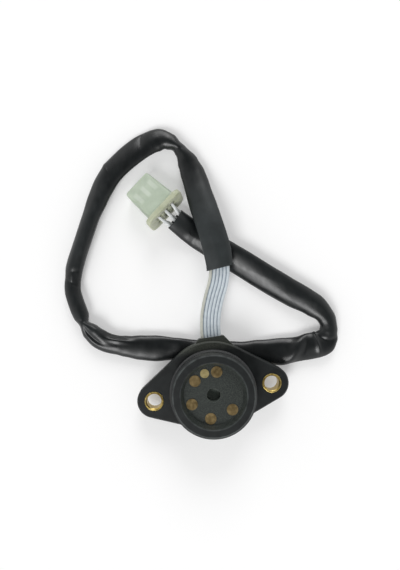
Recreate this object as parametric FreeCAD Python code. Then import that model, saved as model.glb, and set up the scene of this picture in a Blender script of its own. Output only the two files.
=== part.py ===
import FreeCAD, Part
import math
import os

# Gear position sensor: a moulded contact plate on a two-bolt flange, with its sleeved ribbon lead.
# The origin is on the spigot's axis, in the plane that the rear cup stands on.
# +Z points out of the contact face, X runs through both bolt holes and the lead leaves towards +Y.
# All sizes are in millimetres.

Vector = FreeCAD.Vector
up = Vector(0, 0, 1)

# Fits, and the distance under which two points count as one
merge_distance = 0.001
insert_gap = 0.02
slot_gap = 0.1
cavity_gap = 0.1
crimp_gap = 0.02

# Flange with two ears
bolt_spacing = 44.0
ear_radius = 6.3
flange_thickness = 5.2
flange_upper_radius = 18.8
flange_lower_radius = 14.5
flange_edge_chamfer = 0.5

# Bolt bushes
bush_radius = 3.6
bush_bore_radius = 2.7
bush_chamfer = 0.35
bush_proud = 0.15

# Contacts: one for each gear, 60 degrees apart, and a smaller one for neutral
contact_circle_radius = 8.45
gear_contact_radius = 2.05
neutral_contact_radius = 1.6
contact_proud = 0.15
tail_side = 1.3
tail_length = 3.4
first_gear_angle = 74.0
gear_step_angle = 60.0
gear_count = 5

# Spigot with the contact recess in its end
spigot_radius = 15.4
spigot_height = 8.0
spigot_chamfer = 1.0
recess_depth = 2.6
recess_draft = 1.1
recess_lip_chamfer = 0.3
contact_margin = 0.2
contact_plate_thickness = 3.0
centre_hole_radius = 2.5
centre_hole_depth = 4.8
centre_post_wall = 1.2

# Seal round the spigot
seal_section_radius = 1.0
seal_section_sides = 8
seal_groove_depth = 1.4
seal_groove_width = 2.4
seal_groove_above_flange = 0.9

# Rear cup, filled with potting
cup_depth = 3.8
cup_wall = 1.1
cup_chamfer = 0.4
tail_margin = 0.6

# Boss that the lead leaves through
boss_width = 9.6
boss_root_width = 17.0
boss_height = 3.7
boss_reach = 20.0
boss_corner_radius = 1.2
boss_root = 4.0
lead_offset = 2.4

# Ribbon cable and its sleeve
conductor_count = 6
conductor_pitch = 1.27
ribbon_thickness = 0.95
wire_radius = 0.55
core_radius = 0.3
wire_sides = 6
strip_inner_end = 7.0
strip_split_back = 3.2
wire_root = 1.0
wire_spread = 0.3
wire_mouth_gap = 0.3
sleeve_width = 9.0
sleeve_height = 3.2
sleeve_wall = 0.4
sleeve_shoulder = 0.55
exit_inset = 1.0
arc_share = 0.45

# Connector on the lead's far end
connector_back_at = (-6.7, 68.8)
connector_heading = 128.2
columns = 3
rows = 2
column_pitch = 3.6
row_pitch = 3.5
terminal_cavity = 2.5
mating_window = 1.5
front_wall = 1.2
nose_side_wall = 0.95
nose_top_wall = 0.6
body_taper_side = 0.85
body_taper_top = 0.4
body_length = 13.5
body_corner_radius = 0.7
back_flange_width = 17.2
back_flange_height = 12.0
back_flange_thickness = 2.0
back_flange_corner_radius = 3.0

# Terminals in the connector
receptacle_length = 6.0
receptacle_wall = 0.35
neck_length = 1.0
neck_width = 1.0
barrel_length = 3.6
barrel_wall = 0.3
wire_seat = 0.4

# Heights and radii that follow from the sizes above
flange_top = cup_depth + flange_thickness
spigot_top = flange_top + spigot_height
recess_floor = spigot_top - recess_depth
cavity_top = recess_floor - contact_plate_thickness
hole_bottom = recess_floor - centre_hole_depth
post_bottom = hole_bottom - centre_post_wall
tail_bottom = cavity_top - tail_length
recess_floor_radius = contact_circle_radius + gear_contact_radius + contact_margin
recess_mouth_radius = recess_floor_radius + recess_draft
cavity_radius = contact_circle_radius + tail_side / 2 + tail_margin
cup_radius = cavity_radius + cup_wall
post_radius = centre_hole_radius + centre_post_wall
groove_low = flange_top + seal_groove_above_flange
groove_high = groove_low + seal_groove_width
groove_radius = spigot_radius - seal_groove_depth
ribbon_width = conductor_count * conductor_pitch
lead_height = cup_depth + boss_height / 2
lead_exit = boss_reach - exit_inset

# Route of the lead, chosen by hand: bare from the boss, then in its sleeve to the connector
bare_route = [
    Vector(lead_offset, lead_exit, lead_height),
    Vector(2.7, 25.5, lead_height),
    Vector(5.3, 33.5, 6.2),
    Vector(8.9, 41.0, 7.8),
]
sleeved_route = [
    Vector(10.0, 49.0, 8.7),
    Vector(8.6, 60.0, 8.6),
    Vector(6.7, 71.3, 5.6),
    Vector(5.4, 81.8, 2.8),
    Vector(2.8, 91.4, 1.8),
    Vector(-2.5, 97.2, 1.7),
    Vector(-9.5, 97.2, 1.7),
    Vector(-18.8, 92.5, 1.7),
    Vector(-27.4, 85.9, 1.7),
    Vector(-33.1, 76.8, 1.7),
    Vector(-38.3, 67.2, 1.7),
    Vector(-47.6, 48.5, 1.7),
    Vector(-46.0, 38.1, 1.7),
    Vector(-43.5, 29.5, 1.7),
    Vector(-38.3, 23.8, 1.7),
    Vector(-30.4, 21.0, 1.7),
    Vector(-19.5, 18.4, 1.7),
    Vector(-3.5, 16.8, 1.7),
    Vector(12.6, 13.2, 1.7),
    Vector(24.7, 10.2, 1.7),
    Vector(33.0, 9.8, 1.7),
    Vector(39.4, 10.1, 1.7),
    Vector(44.9, 10.9, 1.7),
    Vector(47.8, 15.2, 1.7),
    Vector(47.5, 20.8, 1.7),
    Vector(43.0, 26.2, 1.7),
    Vector(34.5, 32.2, 1.7),
    Vector(24.8, 40.3, 1.7),
    Vector(15.4, 48.4, 1.7),
    Vector(6.4, 55.7, 1.7),
    Vector(0.4, 61.3, 2.6),
    Vector(-4.2, 66.0, 4.4),
]
lead_route = bare_route + sleeved_route


def unit(vector):
    return vector * (1.0 / vector.Length)


def revolved(half_section):
    """A turned solid from its half section, a list of (radius, height)."""
    corners = [Vector(radius, 0, height) for radius, height in half_section]
    face = Part.Face(Part.makePolygon(corners + corners[:1]))
    return face.revolve(Vector(0, 0, 0), up, 360)


def ring_of_points(radius, angle):
    return Vector(radius * math.cos(math.radians(angle)), radius * math.sin(math.radians(angle)), 0)


def rounded_rectangle(width, height, radius, centre, side, upward):
    """A closed wire with rounded corners in the plane of side and upward."""
    half_width = width / 2
    half_height = height / 2
    bulge = radius * (1 - math.sqrt(0.5))

    def at(across, along):
        return centre + side * across + upward * along

    edges = []
    for turn in range(4):
        sign_x = (1, -1, -1, 1)[turn]
        sign_y = (1, 1, -1, -1)[turn]
        corner_x = sign_x * half_width
        corner_y = sign_y * half_height
        beside = at(corner_x, corner_y - sign_y * radius)
        middle = at(corner_x - sign_x * bulge, corner_y - sign_y * bulge)
        above = at(corner_x - sign_x * radius, corner_y)
        ends = (beside, above) if turn % 2 == 0 else (above, beside)
        edges.append(Part.Arc(ends[0], middle, ends[1]).toShape())
    sides = []
    for here, following in zip(edges, edges[1:] + edges[:1]):
        sides.append(here)
        sides.append(Part.LineSegment(here.Vertexes[1].Point, following.Vertexes[0].Point).toShape())
    return Part.Wire(sides)


def rectangle(width, height, centre, side, upward):
    """A closed wire with sharp corners in the plane of side and upward."""
    corners = []
    for sign_x, sign_y in ((1, 1), (-1, 1), (-1, -1), (1, -1)):
        corners.append(centre + side * (sign_x * width / 2) + upward * (sign_y * height / 2))
    return Part.makePolygon(corners + corners[:1])


def flat_hexagon(width, height, shoulder, centre, side, upward):
    """A closed wire, flat above and below and pointed at both sides, for a flattened tube."""
    corners = []
    for across, above in (
        (width / 2, 0),
        (width / 2 - shoulder, height / 2),
        (shoulder - width / 2, height / 2),
        (-width / 2, 0),
        (shoulder - width / 2, -height / 2),
        (width / 2 - shoulder, -height / 2),
    ):
        corners.append(centre + side * across + upward * above)
    return Part.makePolygon(corners + corners[:1])


def many_sided(radius, sides, centre, direction):
    """A closed wire with equal sides across a direction, for a thin wire."""
    across = unit(direction.cross(up))
    lift = unit(across.cross(direction))
    corners = []
    for step in range(sides):
        angle = 2 * math.pi * step / sides
        corners.append(centre + across * (radius * math.cos(angle)) + lift * (radius * math.sin(angle)))
    return Part.makePolygon(corners + corners[:1])


def block(width, length, height, centre_x, start_y, centre_z):
    """A box centred across and up, running along Y from start_y."""
    low = Vector(centre_x - width / 2, start_y, centre_z - height / 2)
    return Part.makeBox(width, length, height, low)


def corner_radii(points):
    """The arc at each inner point, as large as its two runs allow."""
    radii = []
    for before, here, after in zip(points, points[1:], points[2:]):
        into = here - before
        out = after - here
        radii.append(arc_share * min(into.Length, out.Length) / math.tan(into.getAngle(out) / 2))
    return radii


def rounded_path(points, radii):
    """Straight runs joined by tangent arcs."""
    edges = []
    start = points[0]
    for before, here, after, radius in zip(points, points[1:], points[2:], radii):
        into = unit(here - before)
        out = unit(after - here)
        reach = radius * math.tan(into.getAngle(out) / 2)
        arc_start = here - into * reach
        arc_end = here + out * reach
        arc_middle = here + unit(out - into) * (math.hypot(radius, reach) - radius)
        edges.append(Part.LineSegment(start, arc_start).toShape())
        edges.append(Part.Arc(arc_start, arc_middle, arc_end).toShape())
        start = arc_end
    edges.append(Part.LineSegment(start, points[-1]).toShape())
    return Part.Wire(edges)


def swept(path, section):
    """A solid of one section along a path, with its height kept upright."""
    sweep = Part.BRepOffsetAPI.MakePipeShell(path)
    sweep.setBiNormalMode(up)
    sweep.add(section)
    sweep.build()
    sweep.makeSolid()
    return sweep.shape()


def flange_outline():
    """Arcs round the ears and the middle, joined by their outer tangents."""
    ear_at = bolt_spacing / 2
    lean_upper = (flange_upper_radius - ear_radius) / ear_at
    lean_lower = (flange_lower_radius - ear_radius) / ear_at
    upper = Vector(lean_upper, math.sqrt(1 - lean_upper ** 2), 0)
    lower = Vector(lean_lower, -math.sqrt(1 - lean_lower ** 2), 0)
    right_ear = Vector(ear_at, 0, 0)

    def mirrored(point):
        return Vector(-point.x, point.y, point.z)

    top_right = upper * flange_upper_radius
    ear_high = right_ear + upper * ear_radius
    ear_tip = right_ear + Vector(ear_radius, 0, 0)
    ear_low = right_ear + lower * ear_radius
    bottom_right = lower * flange_lower_radius
    top = Vector(0, flange_upper_radius, 0)
    bottom = Vector(0, -flange_lower_radius, 0)
    edges = [
        Part.Arc(mirrored(top_right), top, top_right),
        Part.LineSegment(top_right, ear_high),
        Part.Arc(ear_high, ear_tip, ear_low),
        Part.LineSegment(ear_low, bottom_right),
        Part.Arc(bottom_right, bottom, mirrored(bottom_right)),
        Part.LineSegment(mirrored(bottom_right), mirrored(ear_low)),
        Part.Arc(mirrored(ear_low), mirrored(ear_tip), mirrored(ear_high)),
        Part.LineSegment(mirrored(ear_high), mirrored(top_right)),
    ]
    return Part.Wire([edge.toShape() for edge in edges])


def make_flange():
    """The ear plate, chamfered round both faces and open round the core."""
    plate = Part.Face(flange_outline()).extrude(Vector(0, 0, flange_thickness))
    rims = [edge for edge in plate.Edges if abs(edge.Vertexes[0].Z - edge.Vertexes[-1].Z) < merge_distance]
    plate = plate.makeChamfer(flange_edge_chamfer, rims)
    opening = Part.makeCylinder((cavity_radius + spigot_radius) / 2, flange_thickness)
    plate = plate.cut(opening)
    plate.translate(Vector(0, 0, cup_depth))
    return plate


def make_core():
    """Rear cup, contact plate, centre post and spigot, turned as one section."""
    return revolved([
        (cavity_radius, 0),
        (cup_radius - cup_chamfer, 0),
        (cup_radius, cup_chamfer),
        (cup_radius, cup_depth),
        (spigot_radius, cup_depth),
        (spigot_radius, groove_low),
        (groove_radius, groove_low),
        (groove_radius, groove_high),
        (spigot_radius, groove_high),
        (spigot_radius, spigot_top - spigot_chamfer),
        (spigot_radius - spigot_chamfer, spigot_top),
        (recess_mouth_radius + recess_lip_chamfer, spigot_top),
        (recess_mouth_radius, spigot_top - recess_lip_chamfer),
        (recess_floor_radius, recess_floor),
        (centre_hole_radius, recess_floor),
        (centre_hole_radius, hole_bottom),
        (0, hole_bottom),
        (0, post_bottom),
        (post_radius, post_bottom),
        (post_radius, cavity_top),
        (cavity_radius, cavity_top),
    ])


def make_boss():
    """The tapered block at the flange's edge that the ribbon comes out of."""
    start = flange_upper_radius - boss_root
    corners = []
    for across, along in (
        (-boss_root_width / 2, start),
        (boss_root_width / 2, start),
        (boss_width / 2, boss_reach),
        (-boss_width / 2, boss_reach),
    ):
        corners.append(Vector(lead_offset + across, along, cup_depth))
    boss = Part.Face(Part.makePolygon(corners + corners[:1])).extrude(up * boss_height)
    tips = [edge for edge in boss.Edges if edge.Vertexes[0].Point.distanceToPoint(corners[2]) < merge_distance]
    tips += [edge for edge in boss.Edges if edge.Vertexes[0].Point.distanceToPoint(corners[3]) < merge_distance]
    upright = [edge for edge in tips if abs(edge.Vertexes[0].Z - edge.Vertexes[-1].Z) > merge_distance]
    return boss.makeFillet(boss_corner_radius, upright)


def contact_places():
    """Name, head radius and angle of each contact."""
    places = [("contact_neutral", neutral_contact_radius, first_gear_angle + gear_step_angle / 2)]
    for gear in range(gear_count):
        angle = first_gear_angle + gear * gear_step_angle
        places.append((f"contact_gear_{gear + 1}", gear_contact_radius, angle))
    return places


def make_contact(head_radius, angle, gap=0.0):
    """A stud through the contact plate, with a square tail in the cavity behind it."""
    head_height = contact_plate_thickness + contact_proud + gap
    head = Part.makeCylinder(head_radius + gap, head_height, Vector(0, 0, cavity_top - gap))
    tail = Part.makeBox(tail_side, tail_side, tail_length, Vector(-tail_side / 2, -tail_side / 2, tail_bottom))
    stud = head.fuse(tail).removeSplitter()
    stud.rotate(Vector(0, 0, 0), up, angle)
    stud.translate(ring_of_points(contact_circle_radius, angle))
    return stud


def make_housing():
    housing = make_core().fuse([make_flange(), make_boss()])
    slot_width = ribbon_width + 2 * slot_gap
    slot_height = ribbon_thickness + 2 * slot_gap
    cuts = [block(slot_width, boss_reach - strip_inner_end, slot_height, lead_offset, strip_inner_end, lead_height)]
    for side in (-1, 1):
        base = Vector(side * bolt_spacing / 2, 0, cup_depth - bush_proud)
        cuts.append(Part.makeCylinder(bush_radius + insert_gap, flange_thickness + 2 * bush_proud, base))
    for _, head_radius, angle in contact_places():
        cuts.append(make_contact(head_radius, angle, insert_gap))
    return housing.cut(cuts).removeSplitter()


def make_bush(side):
    low = cup_depth - bush_proud
    high = flange_top + bush_proud
    bush = revolved([
        (bush_bore_radius + bush_chamfer, low),
        (bush_radius, low),
        (bush_radius, high),
        (bush_bore_radius + bush_chamfer, high),
        (bush_bore_radius, high - bush_chamfer),
        (bush_bore_radius, low + bush_chamfer),
    ])
    bush.translate(Vector(side * bolt_spacing / 2, 0, 0))
    return bush


def make_seal():
    """A ring of round cord, drawn with a many-sided section, in the spigot's groove."""
    middle = (groove_low + groove_high) / 2
    ring_radius = groove_radius + insert_gap + seal_section_radius
    section = []
    for step in range(seal_section_sides):
        angle = 2 * math.pi * (step + 0.5) / seal_section_sides
        reach = seal_section_radius / math.cos(math.pi / seal_section_sides)
        section.append((ring_radius + reach * math.cos(angle), middle + reach * math.sin(angle)))
    return revolved(section)


def conductor_offset(index):
    return (index - (conductor_count - 1) / 2) * conductor_pitch


def make_core_ends():
    """Bare conductor ends, from the ribbon to the tails that they are soldered to."""
    neutral, first, *others = contact_places()
    ends = []
    for index, (_, _, angle) in enumerate([neutral, *others, first]):
        start = Vector(lead_offset + conductor_offset(index), strip_inner_end, lead_height)
        tail = ring_of_points(contact_circle_radius, angle) + Vector(0, 0, tail_bottom)
        section = many_sided(core_radius, wire_sides, start, tail - start)
        ends.append(Part.Face(section).extrude(tail - start))
    return ends


def make_potting(contacts, core_ends):
    """Compound that fills the rear cavity round the tails, the ribbon and the centre post."""
    fill = revolved([
        (0, 0),
        (cavity_radius - insert_gap, 0),
        (cavity_radius - insert_gap, cavity_top - insert_gap),
        (post_radius + insert_gap, cavity_top - insert_gap),
        (post_radius + insert_gap, post_bottom - insert_gap),
        (0, post_bottom - insert_gap),
    ])
    strip = block(
        ribbon_width + 2 * insert_gap,
        boss_reach - strip_inner_end,
        ribbon_thickness + 2 * insert_gap,
        lead_offset,
        strip_inner_end,
        lead_height,
    )
    return fill.cut([strip, *contacts, *core_ends])


def connector_frame():
    """The connector's place: side, forward and upward directions and its back centre, resting nose down."""
    nose_height = (rows - 1) * row_pitch + terminal_cavity + 2 * nose_top_wall
    tilt = math.atan2((back_flange_height - nose_height) / 2, body_length)
    heading = math.radians(connector_heading)
    level = Vector(math.cos(heading), math.sin(heading), 0)
    forward = level * math.cos(tilt) - up * math.sin(tilt)
    upward = level * math.sin(tilt) + up * math.cos(tilt)
    side = forward.cross(upward)
    height = back_flange_height / 2 * math.cos(tilt) + back_flange_thickness * math.sin(tilt)
    return side, forward, upward, Vector(connector_back_at[0], connector_back_at[1], height)


def connector_placement():
    side, forward, upward, back = connector_frame()
    turn = FreeCAD.Rotation(side, forward, upward, "XYZ")
    return FreeCAD.Placement(back, turn)


def cavity_centres():
    """Column, row and centre of each terminal cavity, across and up from the connector's axis."""
    centres = []
    for row in range(rows):
        for column in range(columns):
            across = (column - (columns - 1) / 2) * column_pitch
            above = ((rows - 1) / 2 - row) * row_pitch
            centres.append((column, row, across, above))
    return centres


def make_connector_housing():
    """A tapered nose with a cavity for each terminal, on a wide back flange."""
    nose_width = (columns - 1) * column_pitch + terminal_cavity + 2 * nose_side_wall
    nose_height = (rows - 1) * row_pitch + terminal_cavity + 2 * nose_top_wall
    length = back_flange_thickness + body_length
    across = Vector(1, 0, 0)
    back = Vector(0, 0, 0)
    shoulder = Vector(0, back_flange_thickness, 0)
    front = Vector(0, length, 0)
    plate_outline = rounded_rectangle(
        back_flange_width, back_flange_height, back_flange_corner_radius, back, across, up
    )
    plate = Part.Face(plate_outline).extrude(shoulder)
    root = rounded_rectangle(
        nose_width + 2 * body_taper_side,
        nose_height + 2 * body_taper_top,
        body_corner_radius,
        shoulder,
        across,
        up,
    )
    tip = rounded_rectangle(nose_width, nose_height, body_corner_radius, front, across, up)
    body = plate.fuse(Part.makeLoft([root, tip], True, True))
    cuts = []
    for _, _, x, z in cavity_centres():
        cuts.append(block(terminal_cavity, length - front_wall, terminal_cavity, x, 0, z))
        cuts.append(block(mating_window, front_wall, mating_window, x, length - front_wall, z))
    body = body.cut(cuts).removeSplitter()
    body.Placement = connector_placement()
    return body


def make_terminal(x, z):
    """A folded receptacle with a neck and a crimp barrel behind it."""
    outside = terminal_cavity - 2 * cavity_gap
    front = back_flange_thickness + body_length - front_wall - cavity_gap
    box_start = front - receptacle_length
    barrel_start = box_start - neck_length - barrel_length
    inside = outside - 2 * receptacle_wall
    receptacle = block(outside, receptacle_length, outside, x, box_start, z)
    receptacle = receptacle.cut(block(inside, receptacle_length, inside, x, box_start, z))
    bore = 2 * (wire_radius + crimp_gap)
    around = bore + 2 * barrel_wall
    barrel = block(around, barrel_length, around, x, barrel_start, z)
    barrel = barrel.cut(block(bore, barrel_length, bore, x, barrel_start, z))
    low = z - outside / 2
    neck = block(neck_width, neck_length, receptacle_wall, x, box_start - neck_length, low + receptacle_wall / 2)
    web_height = (outside - bore) / 2
    web = block(neck_width, barrel_length, web_height, x, barrel_start, low + web_height / 2)
    terminal = receptacle.fuse([neck, web, barrel]).removeSplitter()
    terminal.Placement = connector_placement()
    return terminal


def make_wires(strip_end, sleeve_end):
    """The ribbon's conductors, torn apart at its end and led into the two rows of cavities."""
    direction = unit(sleeve_end - strip_end)
    across = unit(direction.cross(up))
    lift = across.cross(direction)
    side, forward, upward, back = connector_frame()
    box_start = back_flange_thickness + body_length - front_wall - cavity_gap - receptacle_length
    wire_stop = box_start - neck_length - wire_seat
    wires = []
    for column, row, x, z in cavity_centres():
        offset = across * conductor_offset(rows * column + row)
        spread = lift * (wire_spread if row == 0 else -wire_spread)
        axis = back + side * x + upward * z
        points = [
            strip_end + offset - direction * wire_root,
            sleeve_end + offset + spread,
            axis - forward * wire_mouth_gap,
            axis + forward * wire_stop,
        ]
        path = rounded_path(points, corner_radii(points))
        section = many_sided(wire_radius, wire_sides, points[0], points[1] - points[0])
        wires.append(swept(path, section))
    return wires


def make_ribbon(route, radii):
    """One flat strip from the cavity to the connector, split into its conductors at the far end."""
    start = route[0]
    sleeve_end = route[-1]
    direction = unit(sleeve_end - route[-2])
    strip_end = sleeve_end - direction * strip_split_back
    path = rounded_path(route[:-1] + [strip_end], radii)
    section = rectangle(ribbon_width, ribbon_thickness, start, Vector(1, 0, 0), up)
    strip = swept(path, section)
    length = start.y - strip_inner_end
    inner = block(ribbon_width, length, ribbon_thickness, lead_offset, strip_inner_end, lead_height)
    report_volume("ribbon strip", strip, ribbon_width * ribbon_thickness, path.Length)
    return inner.fuse([strip, *make_wires(strip_end, sleeve_end)]).removeSplitter()


def make_sleeve(radii):
    """A soft flattened tube over the ribbon, open at both ends."""
    mouth = (bare_route[-1] + sleeved_route[0]) * 0.5
    path = rounded_path([mouth, *sleeved_route], radii[len(bare_route) - 1:])
    along = sleeved_route[0] - mouth
    across = unit(along.cross(up))
    outer = flat_hexagon(sleeve_width, sleeve_height, sleeve_shoulder, mouth, across, up)
    inner = flat_hexagon(
        sleeve_width - 2 * sleeve_wall, sleeve_height - 2 * sleeve_wall, sleeve_shoulder, mouth, across, up
    )
    tube = swept(path, outer).cut(swept(path, inner))
    area = Part.Face(outer).Area - Part.Face(inner).Area
    report_volume("sleeve", tube, area, path.Length)
    return tube


def report_volume(name, solid, area, length):
    expected = area * length
    print(f"{name}: length {length:.1f}, volume {solid.Volume:.1f}, section times length {expected:.1f}")


def save(name, shape):
    shape.exportStep(os.path.join("parts", f"{name}.step"))


def main():
    os.makedirs("parts", exist_ok=True)
    radii = corner_radii(lead_route)
    print("lead arc radii:", " ".join(f"{radius:.1f}" for radius in radii))
    contacts = []
    for name, head_radius, angle in contact_places():
        contact = make_contact(head_radius, angle)
        contacts.append(contact)
        save(name, contact)
    core_ends = make_core_ends()
    ribbon = make_ribbon(lead_route, radii)
    save("ribbon_cable", ribbon)
    save("core_ends", Part.makeCompound([end.cut([ribbon, *contacts]) for end in core_ends]))
    save("potting", make_potting(contacts, core_ends))
    save("housing", make_housing())
    save("bush_left", make_bush(-1))
    save("bush_right", make_bush(1))
    save("seal_ring", make_seal())
    save("sleeve", make_sleeve(radii))
    save("connector_housing", make_connector_housing())
    for index, (_, _, x, z) in enumerate(cavity_centres()):
        save(f"connector_terminal_{index + 1}", make_terminal(x, z))


main()
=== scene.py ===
import bisect
import math

import bmesh
import bpy
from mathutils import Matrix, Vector, noise


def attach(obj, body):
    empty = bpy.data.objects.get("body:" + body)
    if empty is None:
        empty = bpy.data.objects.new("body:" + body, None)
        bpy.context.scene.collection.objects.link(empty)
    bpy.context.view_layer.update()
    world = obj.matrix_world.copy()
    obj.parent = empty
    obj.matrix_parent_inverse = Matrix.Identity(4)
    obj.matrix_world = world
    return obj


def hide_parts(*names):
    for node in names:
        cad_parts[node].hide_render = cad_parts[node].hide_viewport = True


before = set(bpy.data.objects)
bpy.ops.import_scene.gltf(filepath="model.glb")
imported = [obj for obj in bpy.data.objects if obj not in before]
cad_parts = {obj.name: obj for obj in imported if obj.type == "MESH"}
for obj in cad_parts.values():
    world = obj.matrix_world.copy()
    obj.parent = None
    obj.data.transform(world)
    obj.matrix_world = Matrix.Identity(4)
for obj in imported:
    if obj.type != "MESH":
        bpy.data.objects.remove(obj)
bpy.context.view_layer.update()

# Sizes are in millimetres here and turned into metres where objects are made.
MM = 0.001
UP = Vector((0, 0, 1))

# The photograph's frame and its camera
PHOTO_LONG_SIDE = 570
FOCAL_PIXELS = 490.1
SENSOR = 36.0
CAMERA_PLACE = (-2.62, 38.6, 190.0)
CAMERA_ROLL = -8.8
FRAME_SHIFT = (10, 5)
NEAREST_SEEN = 10.0

# Route of the lead, from the sensor's edge to the connector
LEAD_ROUTE = [
    (2.4, 19.0, 5.65),
    (2.7, 25.5, 5.65),
    (5.3, 33.5, 6.2),
    (8.9, 41.0, 7.8),
    (10.0, 49.0, 8.7),
    (8.6, 60.0, 8.6),
    (6.7, 71.3, 5.6),
    (5.4, 81.8, 2.8),
    (2.8, 91.4, 1.8),
    (-2.5, 97.2, 1.7),
    (-9.5, 97.2, 1.7),
    (-18.8, 92.5, 1.7),
    (-27.4, 85.9, 1.7),
    (-33.1, 76.8, 1.7),
    (-38.3, 67.2, 1.7),
    (-47.6, 48.5, 1.7),
    (-46.0, 38.1, 1.7),
    (-43.5, 29.5, 1.7),
    (-38.3, 23.8, 1.7),
    (-30.4, 21.0, 1.7),
    (-19.5, 18.4, 1.7),
    (-3.5, 15.8, 1.7),
    (12.6, 12.6, 1.7),
    (24.7, 10.2, 1.7),
    (33.0, 9.8, 1.7),
    (39.4, 10.1, 1.7),
    (44.9, 10.9, 1.7),
    (47.8, 15.2, 1.7),
    (47.5, 20.8, 1.7),
    (43.0, 26.2, 1.7),
    (34.5, 32.2, 1.7),
    (24.8, 40.3, 1.7),
    (15.4, 48.4, 1.7),
    (6.4, 55.7, 1.7),
    (0.4, 61.3, 2.6),
    (-4.2, 66.0, 4.4),
]
MOUTH_PLACE = 3.5
MOUTH_SLANT = 1.1
MOUTH_SLANT_REACH = 12.0
SPLINE_STEPS = 14

# Sleeve's section along the route: place counted in route points, breadth, thickness, roll in degrees
SLEEVE_FORM = [
    (3.5, 9.7, 3.3, 0),
    (4.2, 10.2, 3.4, 0),
    (5.7, 10.3, 3.8, 2),
    (6.5, 9.8, 4.0, 3),
    (7.0, 9.3, 4.2, 4),
    (7.5, 7.9, 4.6, 6),
    (8.1, 5.0, 5.0, 8),
    (8.4, 4.4, 5.0, 4),
    (8.85, 6.3, 4.8, 0),
    (9.5, 8.9, 4.3, -5),
    (10.2, 9.4, 4.0, -6),
    (12.2, 8.8, 4.6, -10),
    (12.85, 8.2, 5.0, -14),
    (13.6, 7.0, 5.6, -20),
    (14.3, 6.7, 5.8, -20),
    (14.7, 6.9, 5.3, -10),
    (15.0, 6.2, 4.6, 0),
    (16.0, 6.4, 5.2, 8),
    (16.3, 6.2, 5.2, 6),
    (16.69, 4.3, 5.6, 4),
    (17.15, 6.6, 5.0, 0),
    (17.75, 7.6, 4.6, -4),
    (18.6, 7.4, 4.2, 0),
    (19.0, 8.2, 4.0, 0),
    (19.5, 9.5, 3.8, -3),
    (20.0, 9.9, 3.6, -2),
    (20.5, 8.7, 3.5, -10),
    (21.0, 7.3, 3.4, 0),
    (22.0, 7.3, 3.4, 0),
    (22.6, 9.0, 3.4, 0),
    (23.4, 10.1, 3.6, 0),
    (24.3, 9.4, 4.0, 0),
    (25.3, 9.9, 4.2, 0),
    (26.0, 10.3, 4.3, 6),
    (26.5, 8.6, 4.6, 8),
    (27.0, 6.7, 4.9, 6),
    (27.4, 6.2, 5.0, 4),
    (28.0, 6.8, 5.2, 4),
    (29.0, 9.1, 5.0, 9),
    (29.8, 10.1, 4.6, 13),
    (30.5, 10.5, 4.3, 18),
    (31.4, 10.5, 4.0, 20),
    (32.3, 10.3, 3.9, 20),
    (33.2, 9.7, 4.0, 16),
    (33.9, 9.2, 4.1, 4),
    (35.0, 8.8, 4.9, -8),
]

# Folds in the sleeve: place, angle round the section from its right-hand side, height (a groove is
# negative), half width along, half width around in degrees, and lean in millimetres per radian
SLEEVE_FOLDS = [
    (8.3, 125, -0.45, 1.5, 60, 1.0),
    (10.2, 50, -0.7, 2.0, 50, 2.0),
    (11.8, 45, 0.6, 1.6, 45, 1.6),
    (14.8, 90, -0.35, 1.2, 80, -1.05),
    (15.02, 90, -0.4, 1.2, 80, 1.2),
    (16.6, 110, -0.5, 0.9, 60, 0.6),
    (16.69, 180, -0.7, 1.2, 60, 0.0),
    (17.3, 125, 1.0, 3.2, 30, 0.0),
    (17.4, 75, -0.7, 4.5, 13, 0.0),
    (18.6, 118, 0.8, 4.5, 14, 0.0),
    (20.4, 95, -0.3, 3.5, 40, 0.0),
    (24.12, 90, 0.9, 2.6, 90, 3.3),
    (24.75, 100, -0.5, 1.3, 35, 2.0),
    (25.5, 95, 0.9, 0.8, 60, 0.3),
    (26.4, 60, -0.8, 0.9, 45, -2.0),
]
CREASE_WIDTH = 2.5
FOLD_REACH = 4.0

# Sleeve's wall and mesh
SLEEVE_WALL = 0.4
SLEEVE_STEP = 0.45
SLEEVE_POINTS = 56
FLOOR_GAP = 0.05

# Soft dents and facets of the sleeve's wall: depth, size round the section and length along it
DENT_DEPTH = 0.16
DENT_SCALE = 0.9
DENT_LENGTH = 14.0
FACET_DEPTH = 0.16
FACET_LEVEL = 0.25
FACET_SCALE = 1.1
FACET_SHIFT = 5
FACET_LENGTH = 17.0

# Ribbon
CONDUCTORS = 6
PITCH = 1.27
RIDGE = 0.475
WEB = 0.14
RIDGE_POINTS = 7
RIBBON_STEP = 1.0
RIBBON_SLACK = 0.7
FLATTEST_CURL = 0.05
TIGHTEST_CURL = 3.0
CURL_STEP = 0.02
CURL_START = 1.0
CURL_EASE = 6.0
CURL_END_EASE = 3.0
SEAT_BEFORE_MOUTH = 2.0
SEAT_EASE = 4.0
STRIP_SPLIT_BACK = 3.2

# Wires between the strip's end and the connector
WIRE_RADIUS = 0.55
WIRE_ROOT = 1.0
WIRE_SPREAD = 0.3
WIRE_STOP = 6.8
WIRE_STANDOFF = 0.3
WIRE_SIDES = 12
WIRE_STEP = 0.5
WIRE_LEAST_STEPS = 8
WIRE_REACH = 0.3

# Connector, as in the part
CONNECTOR_BACK = (-6.7, 68.8)
CONNECTOR_HEADING = 128.2
BACK_HEIGHT = 12.0
BACK_THICKNESS = 2.0
NOSE_HEIGHT = 7.2
BODY_LENGTH = 13.5
CONNECTOR_TILT = math.atan2((BACK_HEIGHT - NOSE_HEIGHT) / 2, BODY_LENGTH)
COLUMNS = 3
ROWS = 2
COLUMN_PITCH = 3.6
ROW_PITCH = 3.5

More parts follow.
